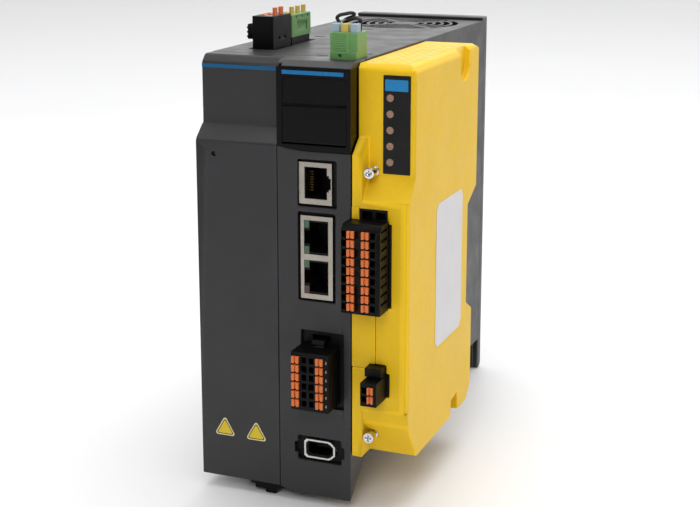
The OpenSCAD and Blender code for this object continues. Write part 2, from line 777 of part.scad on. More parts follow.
module mains_lever_1() color(lever_yellow) device() lever(mains_levers[0], mains_top);
module mains_lever_2() color(lever_yellow) device() lever(mains_levers[1], mains_top);
module mains_lever_3() color(lever_yellow) device() lever(mains_levers[2], mains_top);

brake_x = [52.4, 63.3];
brake_y = [10.4, 21.4];
brake_top = 187;
brake_keys = [54.1, 57.8, 61.5];
brake_half = 1.35;
brake_key_rise = 3.2;
brake_grip = 7.6;
brake_set_back = 1;
brake_ribs = 8;
brake_foot = 179.6;

module brake_plug() color(terminal_green) device() difference() {
    block([brake_x[0], brake_y[0], 168.4], [brake_x[1], brake_y[1], brake_top]);
    // the plain part of the front stands back from the foot and the ribbed grip
    block([brake_x[0] + brake_grip, brake_y[0] - 1, brake_foot],
        [brake_x[1] + 1, brake_y[0] + brake_set_back, brake_top + 1]);
    block([brake_x[0] - 1, brake_y[0] - 1, brake_foot], [brake_x[1] + 1, brake_y[0] + 0.3, brake_top + 1]);
    for (i = [0:brake_ribs - 1]) translate([0, 0, brake_foot + 0.3 + i * 0.88])
        block([brake_x[0] + 0.8, brake_y[0] - 1, 0], [brake_x[0] + brake_grip - 1.2, brake_y[0] + 0.65, 0.4]);
    bar_y(brake_x[0] + 4.1, 178.2, 0.7, brake_y[0] - 1, brake_y[0] + 2);
    for (x = brake_keys) {
        block([x - brake_half - fit, brake_y[0] + 1.4, brake_top - 7],
            [x + brake_half + fit, brake_y[0] + 5.8, brake_top + 1]);
        translate([x, brake_y[0] + 7.8, brake_top - 6]) cylinder(r = 1.1, h = 7);
    }
}

module brake_button(place, tint) color(tint) device() difference() {
    x = brake_keys[place];
    top = brake_top + brake_key_rise;
    block([x - brake_half, brake_y[0] + 1.52, brake_top - 5], [x + brake_half, brake_y[0] + 5.68, top]);
    // screwdriver slot
    block([x - brake_half - 1, brake_y[0] + 3.2, top - 0.6], [x + brake_half + 1, brake_y[0] + 4, top + 1]);
}

module brake_button_1() brake_button(0, "#8fa6b8");
module brake_button_2() brake_button(1, "#d2b25a");
module brake_button_3() brake_button(2, "#9fa9c4");

wire_r = 0.7;
wire_sides = 10;
wire_steps = 4;

// Route of the jumper wire: out of the first wire hole, back in a loop and over into the last hole
hole_y = brake_y[0] + 7.8;
hole_z = brake_top - 6;
route = [[brake_keys[0], hole_y, hole_z], [brake_keys[0], hole_y, 185], [brake_keys[0] - 0.1, hole_y, 188.4],
    [52.8, 18.6, 190.4], [52, 18.8, 191.7], [53, 19.2, 192.7], [55, 19.6, 193.2], [57, 20.2, 193.6],
    [58.2, 21, 193.2], [57.4, 21.8, 192.2], [55.4, 21.8, 191.4], [54.2, 21.2, 190.7], [54.7, 19.6, 190.2],
    [56.4, 18.3, 190.8], [58.6, 17.9, 191.6], [60.6, 17.9, 191.9], [62, 18, 191.1],
    [brake_keys[2] + 0.3, hole_y, 188.8], [brake_keys[2], hole_y, 185], [brake_keys[2], hole_y, hole_z]];

function unit(v) = v / norm(v);
function clip(i) = max(0, min(len(route) - 1, i));

// A point between route points i and i + 1 on a smooth curve through them all
function on_route(i, t) =
    let (a = route[clip(i - 1)], b = route[i], c = route[clip(i + 1)], d = route[clip(i + 2)])
    0.5 * (2 * b + (c - a) * t + (2 * a - 5 * b + 4 * c - d) * t * t + (3 * b - a - 3 * c + d) * t * t * t);

path = concat([for (i = [0:len(route) - 2], k = [0:wire_steps - 1]) on_route(i, k / wire_steps)],
    [route[len(route) - 1]]);

// Direction of the path at each point
function heading(i) = unit(path[min(len(path) - 1, i + 1)] - path[max(0, i - 1)]);

// A side direction carried along the path without twisting
function carried(i, side) = let (h = heading(i)) unit(side - h * (side * h));
function sides(i) = i == 0 ? [[1, 0, 0]]
    : let (before = sides(i - 1)) concat(before, [carried(i, before[i - 1])]);

module tube(r) {
    side = sides(len(path) - 1);
    points = [for (i = [0:len(path) - 1]) let (h = heading(i), u = carried(i, side[i]), v = cross(h, u))
        for (k = [0:wire_sides - 1])
            path[i] + r * (u * cos(k * 360 / wire_sides) + v * sin(k * 360 / wire_sides))];
    last = (len(path) - 1) * wire_sides;
    faces = concat([[for (k = [0:wire_sides - 1]) k]],
        [for (i = [0:len(path) - 2], k = [0:wire_sides - 1])
            let (n = (k + 1) % wire_sides, a = i * wire_sides)
                [a + k, a + wire_sides + k, a + wire_sides + n, a + n]],
        [[for (k = [wire_sides - 1:-1:0]) last + k]]);
    polyhedron(points, faces);
}

module brake_jumpers() color("#141416") device() tube(wire_r);

// ---- Boards and power parts ----
module control_board() color(board_green) device() {
    block([41.2, 9.4, 24], [42.8, 64, 158]);
    block([41.2, 50, floor_z + wall], [42.8, 64, 24 + eps]);
    // solder pins of the sockets and the signal header
    for (pin = [[single_low[0], 126], [single_low[0], 134], [dual_low[0], 88], [dual_low[0], 112], [44.3, 48],
        [44.3, 62]]) block([42.8 - eps, 11, pin[1]], [pin[0], 13, pin[1] + 1]);
    block([36.4, 20, 60], [41.2, 44, 84]);
    block([38.6, 24, 96], [41.2, 38, 110]);
    block([42.8, 26, 120], [47, 34, 150]);
}

module power_board() color(board_green) device() {
    block([4, 110, floor_z + wall], [61, 112, 156]);
    for (z = [30, 140]) block([8, 98, z], [26, 110, z + 12]);
}

module dc_capacitors() color("#2b3f5c") device() for (x = [18, 47], z = [60, 94]) {
    bar_y(x, z, 12.5, 70, 108);
    for (side = [-1, 1]) bar_y(x + side * 5, z, 0.6, 108 - eps, 110);
}

module power_module() color("#2f2f33") device() {
    block([12, 113.6, 62], [52, sink_front, 112]);
    for (i = [0:7]) block([15 + i * 4.6, 112, 64], [16 + i * 4.6, 113.6 + eps, 65]);
}

step_x = [20.4, 22.4, 27, 31.5, 34];

// Motor connector block under the drive, with a stepped keying nose at the front
module motor_header() color(black) device() {
    difference() {
        union() {
            across(motor_low[0], motor_high[0], [[motor_low[1], 0], [motor_low[1], floor_z - 3.4],
                [cover_d + 0.6, floor_z], [motor_high[1], floor_z], [motor_high[1], 0]]);
            block([motor_low[0] + 2.2, motor_low[1] + 6.2, floor_z - eps],
                [motor_high[0] - 2.2, motor_high[1] - 2.2, floor_z + 5]);
        }
        for (i = [0:3]) block([16.4 + i * 8.2, 20, -1], [22.8 + i * 8.2, 40, 9]);
    }
    intersection() {
        across(step_x[0], step_x[4], [[2, 0], [2, lip_z + 2 * under_slope - 0.4],
            [motor_low[1] + eps, lip_z + motor_low[1] * under_slope - 0.4], [motor_low[1] + eps, 0]]);
        facing(1, motor_low[1] + 1) polygon([[step_x[0], 3], [step_x[1], 3],
            [step_x[1], 1.4], [step_x[2], 1.4],
            [step_x[2], 0], [step_x[3], 0], [step_x[4], 4], [step_x[4], 16], [step_x[0], 16]]);
    }
}

// ---- Safety module ----
safety_top = 176.2;
safety_back = 89;
safety_floor = 20.8;
shell_wall = 2;
flange_w = 4.1;
base_t = 1.5;
tab_x = 75;
tab_z = [59.5, 120];
tab_peak = [68.1, 123];
part_gap = 0.1;
corner = 2;
outline = [[12.3, safety_floor], [1.9, 36.6], [0, 42.5], [0, 124.5], [7, 133.5],
    [7, safety_top - corner], [7 + corner, safety_top], [safety_back - corner, safety_top],
    [safety_back, safety_top - corner], [safety_back, 115], [77, 108.8], [77, 66],
    [85, 61.4], [85, 27], [79, safety_floor], [67, safety_floor], [66, 29], [57.6, 28], [57, safety_floor]];
hollow = [[13.4, safety_floor + 2], [3.7, 37.6], [2, 42.9], [2, 123.8], [9, 132.8],
    [9, safety_top - 3.6], [10.6, safety_top - 2], [safety_back - 3.8, safety_top - 2],
    [safety_back - 2, safety_top - 3.8], [safety_back - 2, 116.2], [75, 110],
    [75, 64.8], [83, 60.2], [83, 31], [55, 31], [55, safety_floor + 2]];
// the base's plate, which nests inside the cover
plate = [[13.6, safety_floor + 2.2], [3.9, 37.8], [2.2, 43], [2.2, 123.6], [9.2, 132.6],
    [9.2, safety_top - 3.8], [10.8, safety_top - 2.2], [safety_back - 4, safety_top - 2.2],
    [safety_back - 2.2, safety_top - 4], [safety_back - 2.2, 116.4], [74.8, 110.2],
    [74.8, 64.6], [82.8, 60], [82.8, 31.2], [54.8, 31.2], [54.8, safety_floor + 2.2]];
flange = [[0, 22.5], [0, 142.5], [7, 148.5], [20, 148.5], [20, 22.5]];

module header_openings() {
    block([67, -1, 84.4], [81.3, 12, 117.1]);
    block([68.4, -1, 117], [79.9, 12, 122.5]);
    block([72.5, -1, 48.6], [80.8, 12, 58.1]);
    block([72.5, -1, 58], [79.5, 12, 61.5]);
}

// Front shape of the base's tab between the headers, grown by a gap
module tab_shape(gap) {
    x0 = safety_x - 1;
    translate([x0, tab_z[0] - gap]) square([tab_x - x0 + gap, tab_z[1] - tab_z[0] + 2 * gap]);
    translate([x0, tab_z[0]]) square([tab_peak[0] - x0 + gap, tab_peak[1] - tab_z[0] + gap]);
}

dash_columns = 4;
dash_rows = 10;
dash_pitch = 6.2;
dash_at = [67.6, 14];
dash_step = 4.6;

// Rows of shallow dashes moulded into the top
module top_dashes() for (column = [0:dash_columns - 1], row = [0:dash_rows - 1])
    translate([dash_at[0] + column * dash_step, dash_at[1] + row * dash_pitch, safety_top - 0.4])
        cube([2.6, 1.1, 1]);

screw_x = 72;
screw_z = [30.6, 136];
screw_front = 0.6;
head_end = 4.2;
washer_t = 0.8;
seat_y = 7;
post_end = [10.4, 9.2];
screw_end = 13.4;
boss_end = 14.6;
screw_r = 1.5;
head_r = 2.1;
boss_r = 2.7;

module screw_holes() for (z = screw_z) bar_y(screw_x, z, screw_r + 0.1, 1, boss_end + 1);

module safety_base() color(safety_yellow) device() difference() {
    union() {
        across(safety_x, safety_x + base_t, plate);
        difference() {
            intersection() {
                across(safety_x, tab_x, outline);
                facing(-1, safety_back) tab_shape(0);
            }
            across(safety_x + base_t, tab_x + 1, hollow);
        }
        for (z = [45, 140]) block([body_w, 30, z], [safety_x + eps, 50, z + 14]);
        // arms that carry the screw bosses behind the cover
        for (i = [0:1]) {
            block([safety_x + 0.5, post_end[i] + part_gap, screw_z[i] - boss_r + 0.4],
                [screw_x, boss_end, screw_z[i] + boss_r - 0.4]);
            bar_y(screw_x, screw_z[i], boss_r, post_end[i] + part_gap, boss_end);
        }
    }
    header_openings();
    screw_holes();
}

scoop_y = [63.5, 76.5];
scoop_r = (scoop_y[1] - scoop_y[0]) / 2;
scoop_z = 169.5;
scoop_t = 2.5;
scoop_wall = 1.1;

module safety_cover() color(safety_yellow) device() difference() {
    union() {
        difference() {
            union() {
                across(safety_x, safety_right, outline);
                across(safety_x, safety_x + flange_w, flange);
            }
            across(safety_x - 1, safety_right - shell_wall, hollow);
        }
        // posts under the screw heads
        intersection() {
            for (i = [0:1]) bar_y(screw_x, screw_z[i], head_r + 1, 0.6, post_end[i]);
            across(screw_x - head_r - 1, safety_right, outline);
        }
        // thicker wall behind the finger scoop
        block([safety_right - scoop_t - scoop_wall, scoop_y[0] - 1, scoop_z - scoop_r - 1],
            [safety_right - shell_wall + eps, scoop_y[1] + 1, safety_top - shell_wall + eps]);
    }
    facing(-1, safety_back + 1) tab_shape(part_gap);
    header_openings();
    for (z = screw_z) bar_y(screw_x, z, head_r + 0.3, -1, seat_y);
    screw_holes();
    // sloped edges at the front right and top right
    for (band = [[0, 42.5, 124.5, corner], [7, 133.5, safety_top, 1.2]])
        translate([0, 0, band[1]]) linear_extrude(band[2] - band[1] + 1)
            polygon([[safety_right - band[3], band[0] - eps], [safety_right + 1, band[0] - 1],
                [safety_right + 1, band[0] + band[3] + 1]]);
    facing(6, safety_back + 1) polygon([[safety_right - corner, safety_top + eps],
        [safety_right + 1, safety_top + 1], [safety_right + 1, safety_top - corner - 1]]);
    // finger scoop in the right side
    translate([safety_right - scoop_t, (scoop_y[0] + scoop_y[1]) / 2, scoop_z]) rotate([0, 90, 0])
        cylinder(r = scoop_r, h = scoop_t + 1);
    block([safety_right - scoop_t, scoop_y[0], scoop_z], [safety_right + 1, scoop_y[1], safety_top + 1]);
    top_dashes();
}

module led_label() color(black) device() facing(7 - trim_t, 7) soft_rect([75.4, 135], [86.2, 172.4], 0.3);

light_z = 139.5;
light_pitch = 6.1;
light_x = 78.2;

module status_leds() color("#b0836a") device() for (i = [0:status_lights - 1])
    bar_y(light_x, light_z + i * light_pitch, 1.4, 6.5, 7 - trim_t);

module safety_board() color(board_green) device() {
    block([82.4, 10, 34], [84, 74, 168]);
    // solder pins of the two headers
    for (z = [88, 100, 112]) block([81.2, 10, z], [82.4 + eps, 11, z + 1]);
    block([80.7, 10, 53], [82.4 + eps, 11, 54]);
}

module rating_label() color("#dcdbde") device() across(safety_right, safety_right + trim_t,
    [[34, 61], [36.5, 58.5], [66, 58.5], [68.5, 61], [68.5, 115.5], [66, 118], [36.5, 118], [34, 115.5]]);

module safety_screws() color(silver) device() for (z = screw_z) difference() {
    union() {
        bar_y(screw_x, z, head_r, screw_front, head_end);
        bar_y(screw_x, z, screw_r, head_end - eps, screw_end);
        bar_y(screw_x, z, head_r, seat_y - washer_t, seat_y);
    }
    for (turn = [0, 90]) translate([screw_x, screw_front, z]) rotate([0, turn, 0])
        block([-1.3, -1, -0.3], [1.3, 1.1, 0.3]);
}

main_housing();
left_cover();
right_panel();
back_plate();
display_bezel();
display_window();
display_module();
key_flap();
mode_key();
shift_key();
up_key();
down_key();
set_key();
blue_stripes();
front_labels();
connector_frame();
rj45_shells();
rj45_inserts();
socket_contacts();
drive_leds();
encoder_shell();
encoder_insert();
signal_header();
signal_plug();
signal_buttons_left();
signal_buttons_right();
top_headers();
control_plug();
control_lever_1();
control_lever_2();
mains_plug();
mains_lever_1();
mains_lever_2();
mains_lever_3();
brake_plug();
brake_button_1();
brake_button_2();
brake_button_3();
brake_jumpers();
fan_frame();
fan_rotor();
heat_sink();
control_board();
power_board();
dc_capacitors();
power_module();
motor_header();
safety_cover();
safety_base();
led_label();
status_leds();
safety_board();
safety_headers();
safety_plug();
safety_buttons_left();
safety_buttons_right();
sto_plug();
sto_buttons();
rating_label();
safety_screws();
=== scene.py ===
import json
import math

import bmesh
import bpy
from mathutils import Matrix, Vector
from mathutils.bvhtree import BVHTree


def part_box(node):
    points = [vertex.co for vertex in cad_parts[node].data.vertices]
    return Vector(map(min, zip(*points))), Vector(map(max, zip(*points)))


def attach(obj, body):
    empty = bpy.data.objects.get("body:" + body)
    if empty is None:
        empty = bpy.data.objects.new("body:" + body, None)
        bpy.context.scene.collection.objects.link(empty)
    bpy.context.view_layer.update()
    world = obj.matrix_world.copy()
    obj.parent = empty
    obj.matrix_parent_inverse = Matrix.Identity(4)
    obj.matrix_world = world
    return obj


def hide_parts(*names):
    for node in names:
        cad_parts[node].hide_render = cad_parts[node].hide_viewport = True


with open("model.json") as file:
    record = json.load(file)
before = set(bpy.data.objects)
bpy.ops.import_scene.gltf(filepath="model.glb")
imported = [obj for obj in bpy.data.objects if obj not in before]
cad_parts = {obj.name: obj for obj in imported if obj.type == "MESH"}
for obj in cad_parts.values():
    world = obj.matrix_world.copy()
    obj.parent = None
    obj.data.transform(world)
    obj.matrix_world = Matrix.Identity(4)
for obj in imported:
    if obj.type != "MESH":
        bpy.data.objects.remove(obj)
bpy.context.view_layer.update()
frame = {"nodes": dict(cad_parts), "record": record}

scene = bpy.context.scene
nodes = frame["nodes"]
record = frame["record"]
body_of = {n: b for b, members in record["behaviour"]["bodies"].items() for n in members}
slot_of = {s["node"]: s["material_slot"] for s in record["subparts"]}
MM = 0.001

# The drive's own origin: left side, front face, surface it stands on
left_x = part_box("left_cover")[0].x
front_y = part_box("left_cover")[0].y
base_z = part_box("back_plate")[0].z


def place(x, y, z):
    """A point given in millimetres from the drive's left side, front face and base."""
    return Vector((left_x + x * MM, front_y + y * MM, base_z + z * MM))


# ---------------------------------------------------------------- materials

NOISE_ROUGHNESS = 0.55
NOISE_SPAN = (0.3, 0.7)  # where nearly all of a noise output lies


class Finish:
    """Builds one procedural material, coordinates in metres of the object's own space."""

    def __init__(self, name, color, rough=0.5, metal=0.0, spec=0.5):
        self.mat = bpy.data.materials.new(name)
        self.mat.use_nodes = True
        self.tree = self.mat.node_tree
        self.bsdf = next(n for n in self.tree.nodes if n.type == "BSDF_PRINCIPLED")
        self.color = color
        self.coords = self.add("ShaderNodeTexCoord").outputs["Object"]
        self.bsdf.inputs["Base Color"].default_value = (*color, 1)
        self.bsdf.inputs["Roughness"].default_value = rough
        self.bsdf.inputs["Metallic"].default_value = metal
        self.bsdf.inputs["Specular IOR Level"].default_value = spec
        self.tint = None
        self.height = None

    def add(self, kind, **values):
        node = self.tree.nodes.new(kind)
        for key, value in values.items():
            setattr(node, key, value)
        return node

    def link(self, a, b):
        self.tree.links.new(a, b)

    def noise(self, scale, detail=3.0, stretch=None):
        node = self.add("ShaderNodeTexNoise")
        node.inputs["Scale"].default_value = scale
        node.inputs["Detail"].default_value = detail
        node.inputs["Roughness"].default_value = NOISE_ROUGHNESS
        if stretch:
            mapping = self.add("ShaderNodeMapping")
            mapping.inputs["Scale"].default_value = stretch
            self.link(self.coords, mapping.inputs["Vector"])
            self.link(mapping.outputs["Vector"], node.inputs["Vector"])
        else:
            self.link(self.coords, node.inputs["Vector"])
        return node.outputs["Fac"]

    def cells(self, scale):
        node = self.add("ShaderNodeTexVoronoi")
        node.inputs["Scale"].default_value = scale
        self.link(self.coords, node.inputs["Vector"])
        return node.outputs["Distance"]

    def along(self, axis):
        """One coordinate of the object's own space."""
        node = self.add("ShaderNodeSeparateXYZ")
        self.link(self.coords, node.inputs[0])
        return node.outputs[axis]

    def scaled(self, value, factor):
        node = self.add("ShaderNodeMath", operation="MULTIPLY")
        self.link(value, node.inputs[0])
        node.inputs[1].default_value = factor
        return node.outputs[0]

    def ramp(self, value, low, high, a, b):
        node = self.add("ShaderNodeMapRange", clamp=True)
        node.inputs["From Min"].default_value = low
        node.inputs["From Max"].default_value = high
        node.inputs["To Min"].default_value = a
        node.inputs["To Max"].default_value = b
        self.link(value, node.inputs["Value"])
        return node.outputs["Result"]

    def attribute(self, name):
        return self.add("ShaderNodeAttribute", attribute_name=name).outputs["Fac"]

    def repaint(self, before, after):
        """Passes the colour so far through a node, from its socket before to its socket after."""
        if self.tint is None:
            before.default_value = (*self.color, 1)
        else:
            self.link(self.tint, before)
        self.tint = after
        self.link(after, self.bsdf.inputs["Base Color"])
        return self

    def mix(self, fac, color):
        """Paints color over what is there, by fac."""
        node = self.add("ShaderNodeMix", data_type="RGBA")
        self.link(fac, node.inputs["Factor"])
        node.inputs["B"].default_value = (*color, 1)
        return self.repaint(node.inputs["A"], node.outputs["Result"])

    def shade(self, fac, amount):
        """Darkens and lightens the colour a little, by a noise output around one half."""
        node = self.add("ShaderNodeHueSaturation")
        self.link(self.ramp(fac, *NOISE_SPAN, 1 - amount, 1 + amount), node.inputs["Value"])
        return self.repaint(node.inputs["Color"], node.outputs["Color"])

    def polish(self, fac, low, high):
        """Roughness from a noise output."""
        self.link(self.ramp(fac, *NOISE_SPAN, low, high), self.bsdf.inputs["Roughness"])
        return self

    def bump(self, height, distance, strength=1.0):
        node = self.add("ShaderNodeBump")
        node.inputs["Distance"].default_value = distance
        node.inputs["Strength"].default_value = strength
        self.link(height, node.inputs["Height"])
        if self.height is not None:
            self.link(self.height, node.inputs["Normal"])
        self.height = node.outputs["Normal"]
        self.link(self.height, self.bsdf.inputs["Normal"])
        return self

    def pale_edges(self, color, amount=0.5):
        """Edges that the bevels marked are a little paler."""
        return self.mix(self.scaled(self.attribute("edge"), amount), color)


def lighter(color, k):
    return tuple(min(1.0, c * k) for c in color)


def moulded(name, color, rough=0.5, grain=1800, depth=0.00002, vary=0.06, spec=0.5, edge=1.3, strength=0.5):
    """Injection-moulded plastic: fine spark-eroded grain, slow colour drift, paler rounded edges."""
    f = Finish(name, color, rough, 0.0, spec)
    f.shade(f.noise(28, 4.0), vary)
    f.shade(f.noise(420, 2.0), vary * 0.5)
    f.pale_edges(lighter(color, edge), 0.6)
    f.polish(f.noise(90, 3.0), max(0.05, rough - 0.06), rough + 0.07)
    f.bump(f.cells(grain), depth, strength)
    f.bump(f.noise(grain * 1.7, 2.0), depth * 0.6, strength)
    return f


def hex_linear(text):
    values = [int(text[i:i + 2], 16) / 255 for i in (0, 2, 4)]
    return tuple(v / 12.92 if v <= 0.04045 else ((v + 0.055) / 1.055) ** 2.4 for v in values)


charcoal = moulded("charcoal_moulding", hex_linear("252527"), 0.43, 2100, 0.000022, 0.05, 0.5, 1.6)
charcoal_metal = moulded("charcoal_coat", hex_linear("232324"), 0.4, 900, 0.000035, 0.06, 0.5, 6.0)
gloss_black = moulded("gloss_black", hex_linear("080708"), 0.09, 600, 0.000002, 0.04, 0.12, 2.0, 0.2)
black = moulded("black_moulding", hex_linear("070708"), 0.42, 1500, 0.00002, 0.1, 0.14, 5.0)
dark_mouth = moulded("black_insert", hex_linear("070708"), 0.5, 1500, 0.00002, 0.1, 0.2, 2.0)
orange = moulded("orange_moulding", hex_linear("d9743a"), 0.45, 1700, 0.000015, 0.07, 0.35, 1.15)
green = moulded("green_moulding", hex_linear("6e9f5d"), 0.42, 1500, 0.000018, 0.08, 0.4, 1.25)
lever_yellow = moulded("lever_moulding", hex_linear("cdb457"), 0.42, 1700, 0.000015, 0.07, 0.45, 1.2)
blue_grey = moulded("blue_grey_moulding", hex_linear("9bb0be"), 0.45, 1700, 0.000015, 0.07, 0.45, 1.2)
yellow = moulded("safety_moulding", hex_linear("edc018"), 0.44, 1900, 0.000018, 0.035, 0.25, 1.18)
key_grey = moulded("key_moulding", hex_linear("5a5b60"), 0.5, 1500, 0.00002, 0.06, 0.45, 1.4)
fan_black = moulded("fan_moulding", hex_linear("1b1b1d"), 0.4, 1200, 0.00002, 0.08, 0.45, 1.8)
module_black = moulded("power_moulding", hex_linear("222225"), 0.6, 1200, 0.00003, 0.1, 0.4, 1.5)
wire = moulded("wire_insulation", hex_linear("0f0f10"), 0.35, 900, 0.000012, 0.08, 0.5, 1.5)


def film(name, color, rough=0.3, vary=0.05, spec=0.5):
    """A printed film or sticker: smooth, with slight waviness."""
    f = Finish(name, color, rough, 0.0, spec)
    f.shade(f.noise(60, 3.0), vary)
    f.polish(f.noise(150, 2.0), rough - 0.05, rough + 0.08)
    f.bump(f.noise(220, 2.0), 0.00002, 0.35)
    return f


STRIPE_SEAM = place(34.5, 0, 0).x
SEAM_BLEND = 0.3 * MM
blue = film("blue_film", hex_linear("1d72aa"), 0.28, spec=0.2)
# Left of the cover seam the blue film is painted darker, as painted shade on the recessed left cover
left_stripe_painted_shade = blue.ramp(blue.along("X"), STRIPE_SEAM - SEAM_BLEND, STRIPE_SEAM + SEAM_BLEND, 1, 0)
blue.mix(left_stripe_painted_shade, hex_linear("175a84"))
label_white = film("label_paper", hex_linear("d8d5d6"), 0.42, 0.02)
label_black = film("label_film", hex_linear("0c0c0e"), 0.3, spec=0.25)
label_blue = film("label_blue", hex_linear("2080b8"), 0.3, spec=0.25)
sign_yellow = film("sign_film", hex_linear("dcc02e"), 0.35, spec=0.3)
sign_edge = film("sign_border", hex_linear("dedac2"), 0.35, spec=0.3)
tick = film("tick_print", hex_linear("8f8f92"), 0.5)


def metal(name, color, rough, streak=None, vary=0.08):
    f = Finish(name, color, rough, 1.0)
    f.shade(f.noise(160, 4.0), vary)
    f.polish(f.noise(400, 3.0, stretch=streak), rough - 0.08, rough + 0.12)
    f.bump(f.noise(900, 3.0, stretch=streak), 0.000012, 0.6)
    return f


shield = metal("tinned_steel", hex_linear("a9a298"), 0.33, (1, 1, 8))
ring_steel = metal("encoder_ring", hex_linear("d8d6d0"), 0.3, (1, 1, 8))
gold = metal("gold_plate", hex_linear("7d6330"), 0.3)
chrome = metal("screw_plating", hex_linear("dcdcdc"), 0.16)
aluminium = metal("extruded_aluminium", hex_linear("c4c6c8"), 0.35, (1, 1, 12))

board = Finish("solder_mask", hex_linear("1d5a38"), 0.4)
board.shade(board.noise(200, 4.0), 0.15)
traces = board.cells(260)
board.mix(board.scaled(board.ramp(traces, 0.03, 0.05, 1, 0), 0.6), hex_linear("b9a46a"))
board.polish(board.noise(90), 0.3, 0.5)
board.bump(traces, 0.00005, 0.3)

sleeve = Finish("capacitor_sleeve", hex_linear("22304a"), 0.3)
sleeve.shade(sleeve.noise(70, 3.0), 0.12)
sleeve.polish(sleeve.noise(120), 0.22, 0.4)
sleeve.bump(sleeve.noise(500, 2.0), 0.00003, 0.4)


def lens(name, color, painted_glow=0.0):
    """A light guide: a tinted moulding with a faint painted glow."""
    f = Finish(name, color, 0.25, 0.0, 0.6)
    f.shade(f.noise(900, 2.0), 0.12)
    f.polish(f.noise(600), 0.18, 0.34)
    f.bump(f.noise(1500, 2.0), 0.00002, 0.4)
    # Painted glow: a faint emission in the lens's own colour that lifts the tone of the unlit lights and
    # digit segments
    f.bsdf.inputs["Emission Color"].default_value = (*color, 1)
    f.bsdf.inputs["Emission Strength"].default_value = painted_glow
    return f


# The last number of each is the strength of its painted glow
amber_lens = lens("amber_guide", hex_linear("94725a"), 0.02)
green_lens = lens("green_guide", hex_linear("3a5c3e"), 0.01)
segment = lens("digit_segment", hex_linear("6a2e22"), 0.02)

# The lowest link light, below this height, is dark red
LOW_LIGHT = place(0, 0, 91).z
LIGHT_BLEND = 0.5 * MM
low_light = green_lens.ramp(green_lens.along("Z"), LOW_LIGHT, LOW_LIGHT + LIGHT_BLEND, 1, 0)
green_lens.mix(low_light, hex_linear("4a1c22"))

window = Finish("smoked_window", hex_linear("060505"), 0.08, 0.0, 0.15)
window.shade(window.noise(50), 0.1)
window.polish(window.noise(200), 0.06, 0.12)
window.bsdf.inputs["Alpha"].default_value = 0.8

for_slot = {
    "charcoal_plastic": charcoal, "back_metal": charcoal_metal, "gloss_black": gloss_black,
    "smoked_window": window, "display_parts": segment, "key_grey": key_grey, "blue_trim": blue,
    "sign_yellow": sign_yellow, "black_plastic": black, "steel_shell": shield, "gold_contacts": gold,
    "led_green": green_lens, "orange_plastic": orange, "terminal_green": green, "lever_yellow": lever_yellow,
    "blue_grey": blue_grey, "wire_black": wire, "aluminium": aluminium, "board_green": board,
    "capacitor_sleeve": sleeve, "safety_yellow": yellow, "label_black": label_black, "led_amber": amber_lens,
    "label_white": label_white, "chrome_screw": chrome,
}
special = {
    "rj45_inserts": dark_mouth, "encoder_insert": dark_mouth, "fan_frame": fan_black, "fan_rotor": fan_black,
    "power_module": module_black, "encoder_shell": ring_steel, "connector_frame": dark_mouth,
    "signal_header": dark_mouth, "safety_headers": dark_mouth,
}


def paint(obj, finish):
    obj.data.materials.clear()
    obj.data.materials.append(finish.mat)


def finish_of(node):
    return special.get(node) or for_slot[slot_of[node]]


for name, obj in nodes.items():
    paint(obj, finish_of(name))


# ---------------------------------------------------------------- softened copies of the CAD pieces

WELD = 2e-6  # metres: corners closer than this become one
FLAT = math.radians(0.4)  # faces that meet at less than this are joined
SHARP = math.radians(35)  # edges that turn more than this are rounded
CREASE = math.radians(32)  # edges that still turn more than this are shaded as creases
SPECK = 2e-10  # square metres: smaller triangles aren't judged
STRAY_SHARE = 1e-5  # of the surface may stray or be turned over
GROWTH = 1.002  # the surface may grow by this factor
TRIES = 24


def welded(source, join_flats):
    """The CAD mesh with its corners welded and, if asked, its coplanar triangles joined."""
    bm = bmesh.new()
    bm.from_mesh(source.data)
    bmesh.ops.remove_doubles(bm, verts=bm.verts, dist=WELD)
    bmesh.ops.dissolve_degenerate(bm, edges=bm.edges, dist=WELD)
    if join_flats:
        bmesh.ops.dissolve_limit(bm, angle_limit=FLAT, verts=bm.verts, edges=bm.edges)
    return bm


def open_edges(bm):
    return sum(1 for e in bm.edges if len(e.link_faces) != 2)


def faults(bm, tree, reach):
    """Triangles that stray from the CAD surface or face the other way: their corners and their area."""
    found = []
    for face in bm.faces:
        size = face.calc_area()
        if size > SPECK:
            near, normal, index, distance = tree.find_nearest(face.calc_center_median())
            if distance > reach or normal.dot(face.normal) < 0.2:
                found.append(([v.co.copy() for v in face.verts], size))
    return found


def off_segment(p, a, b):
    """How far the point p lies from the segment between a and b."""
    t = max(0.0, min(1.0, (p - a).dot(b - a) / max((b - a).length_squared, 1e-18)))
    return (a + (b - a) * t - p).length


def bevelled(base, wanted, dropped, offset, steps):
    """A copy of base with its wanted edges rounded, except the dropped ones, in triangles."""
    bm = base.copy()
    bm.edges.ensure_lookup_table()
    edge = bm.faces.layers.float["edge"]
    chosen = [bm.edges[i] for i in wanted if i not in dropped]
    done = bmesh.ops.bevel(bm, geom=chosen, offset=offset, offset_type="OFFSET", segments=steps,
                           profile=0.5, affect="EDGES", clamp_overlap=False, loop_slide=True)
    for face in done["faces"]:
        face[edge] = 1.0
    return bm


